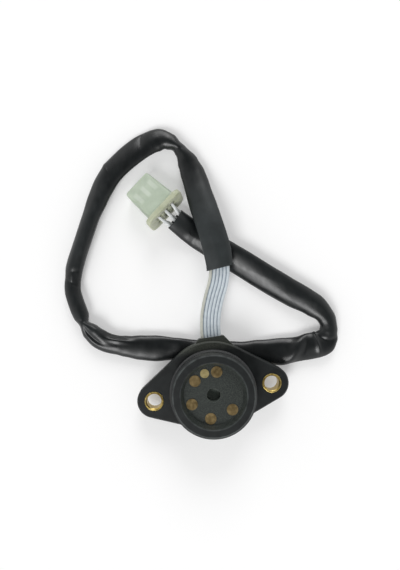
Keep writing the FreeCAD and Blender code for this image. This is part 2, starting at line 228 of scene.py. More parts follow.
# Connector's rounded outside: distance from its back, width, height and corner radius
CONNECTOR_FORM = [
    (-0.02, 16.2, 11.0, 2.5),
    (0.1, 16.8, 11.6, 2.8),
    (0.4, 17.14, 11.94, 2.97),
    (1.6, 17.14, 11.94, 2.97),
    (1.88, 16.8, 11.6, 2.8),
    (1.98, 16.2, 11.0, 2.5),
    (1.99, 13.24, 7.94, 1.2),
    (14.6, 11.68, 7.2, 1.2),
    (15.1, 11.4, 6.94, 1.1),
    (15.4, 10.9, 6.44, 0.9),
    (15.52, 10.2, 5.8, 0.6),
]
CORNER_POINTS = 7
MERGE_DISTANCE = 0.001
SHARP_EDGE = 35

# Studio: light at its horizon and overhead, heights where the sky begins and ends its fall (sine of
# the angle up), breadth of the lamps in degrees, and each lamp's direction and strength
HORIZON_LIGHT = 1.0
OVERHEAD_LIGHT = 0.12
WHITE_UP_TO = 0.3
DARKEST_FROM = 0.95
LAMP_SPREAD = 28
KEY_FROM = (0.1, 0.5, 0.3)
KEY_STRENGTH = 0.95
SIDE_FROM = (-0.24, -0.34, 0.44)
SIDE_STRENGTH = 1.6

# Floor: half its width, its drop below the part, its plain shade, and its shade and glow where seen
FLOOR_HALF = 1500.0
FLOOR_DROP = 0.02
FLOOR_SHADE = 0.8
FLOOR_SEEN_SHADE = 0.76
FLOOR_GLOW = 0.24

# Recess, cable boss and bushes
RECESS_FLOOR = 14.4
RECESS_TOP = 16.6
RECESS_MOUTH = 11.80
CENTRE_HOLE = 2.5
LIP_CHAMFER = 0.3
RIM_RADIUS = 15.4
RIM_CHAMFER = 1.0
BOSS_START = 17.0
BOSS_END = 37.0
BOLT_SPACING = 44.0
BUSH_RADIUS = 3.58
BUSH_BORE = 2.7
BUSH_LOW = 3.65
BUSH_HIGH = 9.15
BUSH_CHAMFER = 0.35
TOOTH_COUNT = 40
TOOTH_DEPTH = 0.22
TOOTH_EDGE = 0.1
POINTS_PER_TOOTH = 4

# Seal
SEAL_RING = 15.02
SEAL_SECTION = 1.0
SEAL_HEIGHT = 11.1
SEAL_AROUND = 96
SEAL_SIDES = 16

# Where the looks change. First come limits that lie outside the part, then the dust, the paler boss, the
# dust and painted light in the centre hole and the painted edge highlights on the housing, the dust and
# painted sheen on the sleeve, and the pale bars and the browned back of the connector. A width called
# EDGE is that of a soft border.
BEFORE_AXIS = -1.0
ABOVE_PART = 30.0
BEHIND_BACK = -1.0
DUST_MARGIN = 0.1
DEPTH_EDGE = 0.2
RECESS_EDGE = 0.1
BOSS_EDGE = 2.5
LIT_HOLE_EDGE = 0.15
PAINTED_HIGHLIGHT_EDGE = 0.12
DUST_AND_SHEEN_HEIGHT = 8.5
DUST_AND_SHEEN_EDGE = 4.0
BAR_MIDDLE = -0.1
BAR_HALF = 0.55
BAR_EDGE = 0.5
BARS_FROM = 8.4
BARS_TO = 12.0
BARS_EDGE = 1.0
AGED_TO = 1.6
AGED_EDGE = 0.6


def lerp(a, b, share):
    return a + (b - a) * share


def smooth(share):
    share = min(max(share, 0.0), 1.0)
    return share * share * (3 - 2 * share)


# Paths
def spline_points(points, name):
    """Points along the route's smooth spline, in millimetres."""
    curve = bpy.data.curves.new(name, "CURVE")
    curve.dimensions = "3D"
    spline = curve.splines.new("NURBS")
    spline.points.add(len(points) - 1)
    for target, point in zip(spline.points, points):
        target.co = (point[0] * MM, point[1] * MM, point[2] * MM, 1)
    spline.order_u = 3
    spline.use_endpoint_u = True
    spline.resolution_u = SPLINE_STEPS
    holder = bpy.data.objects.new(name, curve)
    bpy.context.scene.collection.objects.link(holder)
    mesh = bpy.data.meshes.new_from_object(holder)
    found = [vertex.co / MM for vertex in mesh.vertices]
    bpy.data.objects.remove(holder)
    bpy.data.curves.remove(curve)
    bpy.data.meshes.remove(mesh)
    return found


class Path:
    """A line that can be read at any distance along it."""

    def __init__(self, points):
        self.points = points
        self.marks = [0.0]
        for before, after in zip(points, points[1:]):
            self.marks.append(self.marks[-1] + (after - before).length)
        self.length = self.marks[-1]

    def at(self, distance):
        distance = min(max(distance, 0.0), self.length)
        index = min(max(bisect.bisect_right(self.marks, distance) - 1, 0), len(self.points) - 2)
        span = self.marks[index + 1] - self.marks[index]
        return self.points[index].lerp(self.points[index + 1], (distance - self.marks[index]) / span)

    def direction(self, distance, reach=1.0):
        return (self.at(distance + reach) - self.at(distance - reach)).normalized()

    def nearest(self, place):
        distances = [(point - place).length for point in self.points]
        return self.marks[distances.index(min(distances))]


lead = Path(spline_points(LEAD_ROUTE, "lead_line"))
route_marks = [lead.nearest(Vector(point)) for point in LEAD_ROUTE]


def route_distance(place):
    """Distance along the lead of a place counted in route points."""
    index = min(int(place), len(route_marks) - 2)
    return lerp(route_marks[index], route_marks[index + 1], place - index)


form_marks = [route_distance(row[0]) for row in SLEEVE_FORM]
fold_marks = [route_distance(row[0]) for row in SLEEVE_FOLDS]


def form_value(distance, column):
    """A value of the sleeve's section, blended between the table's rows."""
    index = min(max(bisect.bisect_right(form_marks, distance) - 1, 0), len(form_marks) - 2)
    span = form_marks[index + 1] - form_marks[index]
    share = smooth((distance - form_marks[index]) / span)
    return lerp(SLEEVE_FORM[index][column], SLEEVE_FORM[index + 1][column], share)


mouth_mark = route_distance(MOUTH_PLACE)
sleeve_end_mark = lead.length
strip_end_mark = lead.length - STRIP_SPLIT_BACK


# Mesh helpers
def new_piece(name, points, faces, material, face_materials=None):
    mesh = bpy.data.meshes.new(name)
    mesh.from_pydata([Vector(point) * MM for point in points], [], faces)
    for entry in material if isinstance(material, list) else [material]:
        mesh.materials.append(entry)
    if face_materials:
        mesh.polygons.foreach_set("material_index", face_materials)
    mesh.polygons.foreach_set("use_smooth", [True] * len(mesh.polygons))
    mesh.update()
    piece = bpy.data.objects.new(name, mesh)
    bpy.context.scene.collection.objects.link(piece)
    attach(piece, "root")
    return piece


def bridge(first, second, count, flip=False):
    """Faces between two rings of points."""
    faces = []
    for step in range(count):
        following = (step + 1) % count
        face = [first + step, first + following, second + following, second + step]
        faces.append(face[::-1] if flip else face)
    return faces


def section_axes(distance, roll):
    direction = lead.direction(distance)
    side = direction.cross(UP).normalized()
    lift = side.cross(direction)
    angle = math.radians(roll)
    return (
        side * math.cos(angle) + lift * math.sin(angle),
        lift * math.cos(angle) - side * math.sin(angle),
    )


def sleeve_form(distance):
    """Half axes, roll and centre of the sleeve's section."""
    a = form_value(distance, 1) / 2
    b = form_value(distance, 2) / 2
    roll = form_value(distance, 3)
    angle = math.radians(roll)
    half_height = math.hypot(a * math.sin(angle), b * math.cos(angle))
    centre = lead.at(distance)
    centre.z = max(centre.z, half_height + FLOOR_GAP)
    return a, b, roll, centre


def connector_axes():
    heading = math.radians(CONNECTOR_HEADING)
    level = Vector((math.cos(heading), math.sin(heading), 0))
    forward = level * math.cos(CONNECTOR_TILT) - UP * math.sin(CONNECTOR_TILT)
    upward = level * math.sin(CONNECTOR_TILT) + UP * math.cos(CONNECTOR_TILT)
    side = forward.cross(upward)
    height = BACK_HEIGHT / 2 * math.cos(CONNECTOR_TILT) + BACK_THICKNESS * math.sin(CONNECTOR_TILT)
    return side, forward, upward, Vector((*CONNECTOR_BACK, height))


# Materials
def new_material(name):
    material = bpy.data.materials.new(name)
    material.use_nodes = True
    nodes = material.node_tree.nodes
    links = material.node_tree.links
    return material, nodes, links, nodes["Principled BSDF"]


def coordinates(nodes, links, scale):
    """Object coordinates in millimetres times a scale."""
    place = nodes.new("ShaderNodeTexCoord")
    mapping = nodes.new("ShaderNodeMapping")
    mapping.inputs["Scale"].default_value = [1000 * value for value in scale]
    links.new(place.outputs["Object"], mapping.inputs["Vector"])
    return mapping.outputs["Vector"]


def noise_texture(nodes, links, scale, detail=3.0, stretch=(1, 1, 1)):
    texture = nodes.new("ShaderNodeTexNoise")
    texture.inputs["Scale"].default_value = scale
    texture.inputs["Detail"].default_value = detail
    links.new(coordinates(nodes, links, stretch), texture.inputs["Vector"])
    return texture.outputs["Fac"]


def ramp(nodes, links, source, low, high, dark, light):
    """A colour ramp between two colours over part of a texture's range."""
    node = nodes.new("ShaderNodeValToRGB")
    node.color_ramp.elements[0].position = low
    node.color_ramp.elements[0].color = (*dark, 1)
    node.color_ramp.elements[1].position = high
    node.color_ramp.elements[1].color = (*light, 1)
    links.new(source, node.inputs["Fac"])
    return node.outputs["Color"]


def spread(nodes, links, source, low, high):
    node = nodes.new("ShaderNodeMapRange")
    node.inputs["To Min"].default_value = low
    node.inputs["To Max"].default_value = high
    links.new(source, node.inputs["Value"])
    return node.outputs["Result"]


def bump(nodes, links, shader, source, strength, height):
    node = nodes.new("ShaderNodeBump")
    node.inputs["Strength"].default_value = strength
    node.inputs["Distance"].default_value = height * MM
    links.new(source, node.inputs["Height"])
    links.new(node.outputs["Normal"], shader.inputs["Normal"])


def moulding_material(name, dark, light, roughness, grain):
    material, nodes, links, shader = new_material(name)
    cloud = noise_texture(nodes, links, 0.35, 5)
    links.new(ramp(nodes, links, cloud, 0.35, 0.7, dark, light), shader.inputs["Base Color"])
    fine = noise_texture(nodes, links, 3.0, 4)
    links.new(spread(nodes, links, fine, roughness - 0.08, roughness + 0.08), shader.inputs["Roughness"])
    bump(nodes, links, shader, fine, 0.35, grain)
    return material


def combined(nodes, links, operation, first, second):
    node = nodes.new("ShaderNodeMath")
    node.operation = operation
    links.new(first, node.inputs[0])
    links.new(second, node.inputs[1])
    return node.outputs[0]


def within(nodes, links, value, low, high, soft):
    """One between two limits and nought outside them, with soft edges."""
    rise = nodes.new("ShaderNodeMapRange")
    rise.inputs["From Min"].default_value = low - soft
    rise.inputs["From Max"].default_value = low
    links.new(value, rise.inputs["Value"])
    fall = nodes.new("ShaderNodeMapRange")
    fall.inputs["From Min"].default_value = high + soft
    fall.inputs["From Max"].default_value = high
    links.new(value, fall.inputs["Value"])
    return combined(nodes, links, "MULTIPLY", rise.outputs["Result"], fall.outputs["Result"])


def mixed(nodes, links, share, first, second):
    node = nodes.new("ShaderNodeMix")
    node.data_type = "RGBA"
    links.new(share, node.inputs["Factor"])
    links.new(first, node.inputs["A"])
    links.new(second, node.inputs["B"])
    return node.outputs["Result"]


def place_along(nodes, links, axis):
    """Place along one axis of the object, in millimetres."""
    parts = nodes.new("ShaderNodeSeparateXYZ")
    links.new(coordinates(nodes, links, (1, 1, 1)), parts.inputs["Vector"])
    return parts.outputs[axis]


def distance_from_axis(nodes, links):
    length = nodes.new("ShaderNodeVectorMath")
    length.operation = "LENGTH"
    links.new(coordinates(nodes, links, (1, 1, 0)), length.inputs[0])
    return length.outputs["Value"]


def housing_material():
    """Dark moulding, dusty in its recess, paler over its boss, with dust and a painted pool of light in its
    centre hole, and painted highlights on the chamfers of its rim and recess mouth.
    """
    material, nodes, links, shader = new_material("housing_moulding")
    cloud = noise_texture(nodes, links, 0.35, 5)
    plain = ramp(nodes, links, cloud, 0.35, 0.7, (0.0045, 0.006, 0.0062), (0.0095, 0.012, 0.0122))
    speck = noise_texture(nodes, links, 3.6, 6)
    dusty = ramp(nodes, links, speck, 0.42, 0.68, (0.012, 0.0155, 0.0145), (0.06, 0.069, 0.06))
    radius = distance_from_axis(nodes, links)
    height = place_along(nodes, links, "Z")
    depth = within(nodes, links, height, RECESS_FLOOR - DUST_MARGIN, RECESS_TOP, DEPTH_EDGE)
    inside = within(nodes, links, radius, BEFORE_AXIS, RECESS_MOUTH, RECESS_EDGE)
    floor = mixed(nodes, links, combined(nodes, links, "MULTIPLY", depth, inside), plain, dusty)
    # The moulding is painted paler over the cable boss.
    paler_over_boss = ramp(nodes, links, speck, 0.42, 0.68, (0.03, 0.034, 0.028), (0.075, 0.08, 0.066))
    boss = within(nodes, links, place_along(nodes, links, "Y"), BOSS_START, BOSS_END, BOSS_EDGE)
    upper = mixed(nodes, links, boss, floor, paler_over_boss)
    # Centre hole: dust with a painted pool of light on its deep bottom, far paler than the plain moulding.
    hole_dust_and_light = ramp(nodes, links, speck, 0.42, 0.68, (0.2, 0.235, 0.21), (0.34, 0.375, 0.335))
    hole = within(nodes, links, radius, BEFORE_AXIS, CENTRE_HOLE - DUST_MARGIN, LIT_HOLE_EDGE)
    deep = mixed(nodes, links, hole, upper, hole_dust_and_light)
    # Painted highlights: paler rings on the chamfers of the rim and of the recess mouth, on the top only.
    painted_edge_highlight = ramp(nodes, links, cloud, 0.35, 0.7, (0.013, 0.016, 0.016), (0.055, 0.064, 0.062))
    lip = within(nodes, links, radius, RECESS_MOUTH, RECESS_MOUTH + LIP_CHAMFER, PAINTED_HIGHLIGHT_EDGE)
    rim = within(nodes, links, radius, RIM_RADIUS - RIM_CHAMFER, RIM_RADIUS, PAINTED_HIGHLIGHT_EDGE)
    edges = combined(nodes, links, "MAXIMUM", lip, rim)
    top = within(nodes, links, height, RECESS_TOP, ABOVE_PART, DEPTH_EDGE)
    edge_highlight_mask = combined(nodes, links, "MULTIPLY", edges, top)
    links.new(mixed(nodes, links, edge_highlight_mask, deep, painted_edge_highlight), shader.inputs["Base Color"])
    fine = noise_texture(nodes, links, 3.0, 4)
    links.new(spread(nodes, links, fine, 0.38, 0.56), shader.inputs["Roughness"])
    shader.inputs["Specular IOR Level"].default_value = 0.35
    bump(nodes, links, shader, fine, 0.4, 0.07)
    return material


def metal_material(name, dark, light, roughness, scale):
    material, nodes, links, shader = new_material(name)
    cloud = noise_texture(nodes, links, scale, 5)
    links.new(ramp(nodes, links, cloud, 0.3, 0.7, dark, light), shader.inputs["Base Color"])
    links.new(spread(nodes, links, cloud, roughness - 0.1, roughness + 0.12), shader.inputs["Roughness"])
    shader.inputs["Metallic"].default_value = 1.0
    scratches = noise_texture(nodes, links, 2.0, 2, (1, 6, 1))
    bump(nodes, links, shader, scratches, 0.2, 0.02)
    return material


def vinyl_material():
    """Black vinyl, paler where it lies highest from dust and a painted overhead sheen, and scuffed here and
    there.
    """
    material, nodes, links, shader = new_material("sleeve_vinyl")
    cloud = noise_texture(nodes, links, 0.25, 4)
    plain = ramp(nodes, links, cloud, 0.3, 0.7, (0.003, 0.0042, 0.0046), (0.0065, 0.0082, 0.0088))
    # Paler colour where the sleeve lies highest: partly dust, partly a painted overhead sheen.
    dusty = ramp(nodes, links, cloud, 0.3, 0.7, (0.0095, 0.0135, 0.0142), (0.018, 0.0235, 0.0248))
    height = place_along(nodes, links, "Z")
    high = within(nodes, links, height, DUST_AND_SHEEN_HEIGHT, ABOVE_PART, DUST_AND_SHEEN_EDGE)
    links.new(mixed(nodes, links, high, plain, dusty), shader.inputs["Base Color"])
    scuff = spread(nodes, links, noise_texture(nodes, links, 0.8, 5, (1, 0.35, 1)), 0.2, 0.44)
    dulled = spread(nodes, links, high, 0.0, 0.22)
    links.new(combined(nodes, links, "ADD", scuff, dulled), shader.inputs["Roughness"])
    fine = noise_texture(nodes, links, 1.2, 3)
    bump(nodes, links, shader, fine, 0.12, 0.06)
    return material


def insulation_material(name, dark, light):
    material, nodes, links, shader = new_material(name)
    cloud = noise_texture(nodes, links, 0.6, 4)
    links.new(ramp(nodes, links, cloud, 0.3, 0.7, dark, light), shader.inputs["Base Color"])
    links.new(spread(nodes, links, cloud, 0.42, 0.58), shader.inputs["Roughness"])
    fine = noise_texture(nodes, links, 2.5, 2)
    bump(nodes, links, shader, fine, 0.1, 0.03)
    return material


def connector_reach(nodes, links, axis):
    """Distance from the middle of the connector's back, along one of its directions, in millimetres."""
    _, _, _, back = connector_axes()
    shift = nodes.new("ShaderNodeVectorMath")
    shift.operation = "SUBTRACT"
    links.new(coordinates(nodes, links, (1, 1, 1)), shift.inputs[0])
    shift.inputs[1].default_value = back
    along = nodes.new("ShaderNodeVectorMath")
    along.operation = "DOT_PRODUCT"
    links.new(shift.outputs["Vector"], along.inputs[0])
    along.inputs[1].default_value = axis
    return along.outputs["Value"]


def nylon_material():
    """Milky nylon, paler over its terminal cavities and browned with age round its back."""
    material, nodes, links, shader = new_material("connector_nylon")
    side, forward, _, _ = connector_axes()
    cloud = noise_texture(nodes, links, 0.3, 4)
    plain = ramp(nodes, links, cloud, 0.3, 0.75, (0.43, 0.5, 0.4), (0.52, 0.59, 0.485))
    pale = ramp(nodes, links, cloud, 0.3, 0.75, (0.52, 0.58, 0.49), (0.61, 0.67, 0.58))
    tan = ramp(nodes, links, cloud, 0.3, 0.75, (0.42, 0.445, 0.315), (0.51, 0.535, 0.4))
    across = connector_reach(nodes, links, side)
    ahead = connector_reach(nodes, links, forward)
    bars = nodes.new("ShaderNodeMath")
    bars.operation = "PINGPONG"
    links.new(across, bars.inputs[0])
    bars.inputs[1].default_value = COLUMN_PITCH / 2
    over = within(nodes, links, bars.outputs[0], BAR_MIDDLE, BAR_HALF, BAR_EDGE)
    middle = within(nodes, links, ahead, BARS_FROM, BARS_TO, BARS_EDGE)
    body = mixed(nodes, links, combined(nodes, links, "MULTIPLY", over, middle), plain, pale)
    aged = within(nodes, links, ahead, BEHIND_BACK, AGED_TO, AGED_EDGE)
    links.new(mixed(nodes, links, aged, body, tan), shader.inputs["Base Color"])
    links.new(spread(nodes, links, cloud, 0.3, 0.45), shader.inputs["Roughness"])
    shader.inputs["Subsurface Weight"].default_value = 0.4
    shader.inputs["Subsurface Radius"].default_value = (1.0, 1.0, 0.8)
    shader.inputs["Subsurface Scale"].default_value = 1.2 * MM
    fine = noise_texture(nodes, links, 1.5, 2)
    bump(nodes, links, shader, fine, 0.08, 0.03)
    return material


housing_finish = housing_material()
potting_finish = moulding_material(
    "potting_compound", (0.012, 0.012, 0.013), (0.025, 0.025, 0.026), 0.3, 0.03
)
rubber_finish = moulding_material("seal_rubber", (0.018, 0.019, 0.02), (0.032, 0.034, 0.035), 0.55, 0.03)
bush_finish = metal_material("bush_brass", (0.42, 0.3, 0.08), (0.7, 0.54, 0.2), 0.3, 0.9)
neutral_finish = metal_material("neutral_brass", (0.38, 0.31, 0.14), (0.56, 0.47, 0.24), 0.42, 0.8)
contact_finish = metal_material("contact_copper", (0.14, 0.1, 0.045), (0.29, 0.215, 0.105), 0.45, 0.8)
terminal_finish = metal_material("terminal_brass", (0.5, 0.4, 0.2), (0.74, 0.62, 0.38), 0.35, 1.2)
vinyl_finish = vinyl_material()
ribbon_finish = insulation_material("ribbon_insulation", (0.5, 0.56, 0.6), (0.6, 0.66, 0.69))
marked_finish = insulation_material("ribbon_marked_core", (0.44, 0.45, 0.4), (0.53, 0.54, 0.48))
# Valleys between the cores carry painted shade, darker and bluer than the ridges.
valley_painted_shade = insulation_material("ribbon_valley_painted_shade", (0.17, 0.21, 0.27), (0.26, 0.31, 0.37))
wire_finish = insulation_material("wire_insulation", (0.66, 0.69, 0.7), (0.82, 0.84, 0.84))
nylon_finish = nylon_material()


# Carried-over parts
def dress(node, material):
    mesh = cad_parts[node].data
    mesh.materials.clear()
    mesh.materials.append(material)


dress("housing", housing_finish)
dress("potting", potting_finish)
dress("core_ends", contact_finish)
dress("contact_neutral", neutral_finish)
for gear in range(1, 6):
    dress(f"contact_gear_{gear}", contact_finish)
for number in range(1, CONDUCTORS + 1):
    dress(f"connector_terminal_{number}", terminal_finish)


# Sleeve
def sleeve_relief(distance, angle):
    """How far the soft wall stands out or in, from soft dents and from the folds at its kinks."""
    across = math.cos(angle)
    above = math.sin(angle)
    dents = noise.noise(Vector((across * DENT_SCALE, above * DENT_SCALE, distance / DENT_LENGTH)))
    facet_place = Vector((across * FACET_SCALE + FACET_SHIFT, above * FACET_SCALE, distance / FACET_LENGTH))
    facets = FACET_LEVEL - abs(noise.noise(facet_place))
    relief = DENT_DEPTH * dents + FACET_DEPTH * facets
    for mark, (_, middle, height, along, around, lean) in zip(fold_marks, SLEEVE_FOLDS):
        turned = math.remainder(angle - math.radians(middle), 2 * math.pi)
        gap = abs(distance - mark - lean * turned) / along
        if gap < FOLD_REACH:
            fade = gap if along < CREASE_WIDTH else gap * gap
            relief += height * math.exp(-fade - (turned / math.radians(around)) ** 2)
    return relief


def sleeve_ring(distance, inset):
    a, b, roll, centre = sleeve_form(distance)
    side, lift = section_axes(distance, roll)
    direction = lead.direction(distance)
    slant = MOUTH_SLANT * (1 - smooth((distance - mouth_mark) / MOUTH_SLANT_REACH))
    ring = []
    for step in range(SLEEVE_POINTS):
        angle = 2 * math.pi * step / SLEEVE_POINTS
        out = sleeve_relief(distance, angle) - inset
        across = (a + out) * math.cos(angle)
        above = (b + out) * math.sin(angle)
        point = centre + side * across + lift * above + direction * slant * math.cos(angle)
        point.z = max(point.z, FLOOR_GAP)
        ring.append(point)
    return ring, centre


def make_sleeve():
    length = sleeve_end_mark - mouth_mark
    count = round(length / SLEEVE_STEP)
    points = []
    path = []
    faces = []
    starts = []
    for inset in (0.0, SLEEVE_WALL):
        for step in range(count + 1):
            distance = mouth_mark + length * step / count
            ring, centre = sleeve_ring(distance, inset)
            starts.append(len(points))
            points.extend(ring)
            if inset == 0.0:
                path.append(centre * MM)
    outer = starts[:count + 1]
    inner = starts[count + 1:]
    for first, second in zip(outer, outer[1:]):
        faces.extend(bridge(first, second, SLEEVE_POINTS))
    for first, second in zip(inner, inner[1:]):
        faces.extend(bridge(first, second, SLEEVE_POINTS, True))
    faces.extend(bridge(inner[0], outer[0], SLEEVE_POINTS))
    faces.extend(bridge(outer[-1], inner[-1], SLEEVE_POINTS))
    piece = new_piece("sleeve_soft", points, faces, vinyl_finish)
    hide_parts("sleeve")
    return piece, path


# Ribbon
def ribbon_section():
    """Across and height of the strip's outline, ridge by ridge, and the conductor of each point."""
    upper = []
    for conductor in range(CONDUCTORS):
        middle = (conductor - (CONDUCTORS - 1) / 2) * PITCH
        for step in range(RIDGE_POINTS):
            angle = math.pi * step / (RIDGE_POINTS - 1)
            across = middle - math.cos(angle) * RIDGE
            height = WEB + (RIDGE - WEB) * math.sin(angle)
            upper.append((across, height, conductor))
    edge = CONDUCTORS * PITCH / 2
    upper = [(-edge, WEB, 0), *upper, (edge, WEB, CONDUCTORS - 1)]
    return upper + [(across, -height, conductor) for across, height, conductor in reversed(upper)]


def curl_angle(distance):
    """How far the strip curls up so that it fits inside the sleeve, as a half angle."""
    a, _, _, _ = sleeve_form(distance)
    room = a - SLEEVE_WALL - RIDGE - RIBBON_SLACK
    half = FLATTEST_CURL
    while half < TIGHTEST_CURL:
        reach = CONDUCTORS * PITCH / 2 / half * math.sin(min(half, math.pi / 2))
        if reach <= room:
            break
        half += CURL_STEP
    curling = smooth((distance - mouth_mark - CURL_START) / CURL_EASE)
    flattening = smooth((strip_end_mark - distance) / CURL_END_EASE)
    return lerp(FLATTEST_CURL, half, curling * flattening)


def strip_finish(section, place):
    """Slot of the face after a point: plain, the marked core, or a valley between two cores, which is
    painted in shade.
    """
    here = section[place][2]
    following = section[(place + 1) % len(section)][2]
    if here != following:
        return 2
    return 1 if here == 0 else 0


def make_ribbon():
    section = ribbon_section()
    count = round(strip_end_mark / RIBBON_STEP)
    points = []
    path = []
    faces = []
    face_materials = []
    size = len(section)
    for step in range(count + 1):
        distance = strip_end_mark * step / count
        sleeved = smooth((distance - mouth_mark + SEAT_BEFORE_MOUTH) / SEAT_EASE)
        a, b, roll, seated = sleeve_form(distance)
        room = lerp(2 * RIDGE, 2 * (b - SLEEVE_WALL) - RIBBON_SLACK, sleeved)
        free = lead.at(distance)
        centre = free.lerp(seated, sleeved)
        side, lift = section_axes(distance, roll * sleeved)
        half = curl_angle(distance)
        radius = CONDUCTORS * PITCH / 2 / half
        sag = radius * (1 - math.cos(half)) / 2
        squeeze = min(1.0, room / (2 * sag + 2 * RIDGE))
        reach = radius * math.sin(min(half, math.pi / 2)) + RIDGE
        tuck = lerp(1.0, min(1.0, (a - SLEEVE_WALL - RIBBON_SLACK / 2) / reach), sleeved)
        path.append(centre * MM)
        for across, height, _ in section:
            angle = across / radius
            outward = radius - height
            flat = outward * math.sin(angle) * tuck
            rise = (radius - sag - outward * math.cos(angle)) * squeeze
            points.append(centre + side * flat + lift * rise)
    for step in range(count):
        faces.extend(bridge(step * size, (step + 1) * size, size, True))
        face_materials.extend(strip_finish(section, place) for place in range(size))
    faces.append(list(range(size)))
    faces.append(list(range(count * size, (count + 1) * size))[::-1])
    face_materials.extend([0, 0])
    finishes = [ribbon_finish, marked_finish, valley_painted_shade]
    piece = new_piece("ribbon_strip", points, faces, finishes, face_materials)
    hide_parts("ribbon_cable")
    return piece, path


# Connector's wires
def round_tube(name, points, radius, material):
    path = Path(spline_points(points, name + "_line"))
    count = max(WIRE_LEAST_STEPS, round(path.length / WIRE_STEP))
    rings = []
    for step in range(count + 1):
        distance = path.length * step / count
        direction = path.direction(distance, WIRE_REACH)
        side = direction.cross(UP).normalized()
        lift = side.cross(direction)
        centre = path.at(distance)
        for turn in range(WIRE_SIDES):
            angle = 2 * math.pi * turn / WIRE_SIDES
            rings.append(centre + side * (radius * math.cos(angle)) + lift * (radius * math.sin(angle)))
    faces = []
    for step in range(count):
        faces.extend(bridge(step * WIRE_SIDES, (step + 1) * WIRE_SIDES, WIRE_SIDES))
    faces.append(list(range(WIRE_SIDES))[::-1])
    faces.append(list(range(count * WIRE_SIDES, (count + 1) * WIRE_SIDES)))
    return new_piece(name, rings, faces, material)


def make_wires():
    strip_end = lead.at(strip_end_mark)
    sleeve_end = lead.at(sleeve_end_mark)
    direction = (sleeve_end - strip_end).normalized()
    across = direction.cross(UP).normalized()
    lift = across.cross(direction)
    side, forward, upward, back = connector_axes()
    wires = []
    for column in range(COLUMNS):
        for row in range(ROWS):
            index = ROWS * column + row
            offset = across * ((index - (CONDUCTORS - 1) / 2) * PITCH)
            spread_out = lift * (WIRE_SPREAD if row == 0 else -WIRE_SPREAD)
            aside = side * ((column - (COLUMNS - 1) / 2) * COLUMN_PITCH)
            axis = back + aside + upward * (((ROWS - 1) / 2 - row) * ROW_PITCH)
            points = [
                strip_end + offset - direction * WIRE_ROOT,
                sleeve_end + offset + spread_out,
                axis - forward * WIRE_STANDOFF,
                axis + forward * WIRE_STOP,
            ]
            name = f"wire_{index + 1}"
            wires.append(round_tube(name, points, WIRE_RADIUS, wire_finish))
    return wires


# Connector's body
def rounded_outline(width, height, radius):
    """Points of a rectangle with round corners."""
    points = []
    for corner, (x, z) in enumerate(((1, 1), (-1, 1), (-1, -1), (1, -1))):
        for step in range(CORNER_POINTS):
            angle = math.pi / 2 * (corner + step / (CORNER_POINTS - 1))
            points.append((
                x * (width / 2 - radius) + radius * math.cos(angle),
                z * (height / 2 - radius) + radius * math.sin(angle),
            ))
    return points


def connector_envelope():
    """The connector's outside with its edges rounded, as a plain closed form."""
    side, forward, upward, back = connector_axes()
    points = []
    faces = []
    size = 4 * CORNER_POINTS
    for ahead, width, height, radius in CONNECTOR_FORM:
        for x, z in rounded_outline(width, height, radius):
            points.append((back + forward * ahead + side * x + upward * z) * MM)
    last = len(CONNECTOR_FORM) - 1
    for ring in range(last):
        faces.extend(bridge(ring * size, (ring + 1) * size, size))
    faces.append(list(range(size))[::-1])
    faces.append(list(range(last * size, (last + 1) * size)))
    mesh = bpy.data.meshes.new("connector_envelope")
    mesh.from_pydata(points, [], faces)
    shape = bmesh.new()
    shape.from_mesh(mesh)
    bmesh.ops.recalc_face_normals(shape, faces=shape.faces)
    shape.to_mesh(mesh)
    shape.free()
    return mesh


def make_connector():
    """The connector's moulding with its outer edges rounded off."""
    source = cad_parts["connector_housing"]
    shape = bmesh.new()
    shape.from_mesh(source.data)
    shape.transform(source.matrix_world)
    bmesh.ops.remove_doubles(shape, verts=shape.verts, dist=MERGE_DISTANCE * MM)
    body = bpy.data.meshes.new("connector_start")
    shape.to_mesh(body)
    shape.free()
    holder = bpy.data.objects.new("connector_start", body)
    cutter = bpy.data.objects.new("connector_envelope", connector_envelope())
    scene = bpy.context.scene
    for entry in (holder, cutter):
        scene.collection.objects.link(entry)
    keep = holder.modifiers.new("keep", "BOOLEAN")
    keep.operation = "INTERSECT"
    keep.solver = "EXACT"
    keep.object = cutter
    bpy.context.view_layer.update()
    mesh = bpy.data.meshes.new_from_object(holder.evaluated_get(bpy.context.evaluated_depsgraph_get()))
    for entry in (holder, cutter):
        bpy.data.objects.remove(entry)
    mesh.name = "connector_body"
    mesh.materials.clear()
    mesh.materials.append(nylon_finish)
    mesh.polygons.foreach_set("material_index", [0] * len(mesh.polygons))
    mesh.polygons.foreach_set("use_smooth", [True] * len(mesh.polygons))
    mesh.set_sharp_from_angle(angle=math.radians(SHARP_EDGE))
    piece = bpy.data.objects.new("connector_body", mesh)
    scene.collection.objects.link(piece)
    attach(piece, "root")
    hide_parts("connector_housing")
    return piece


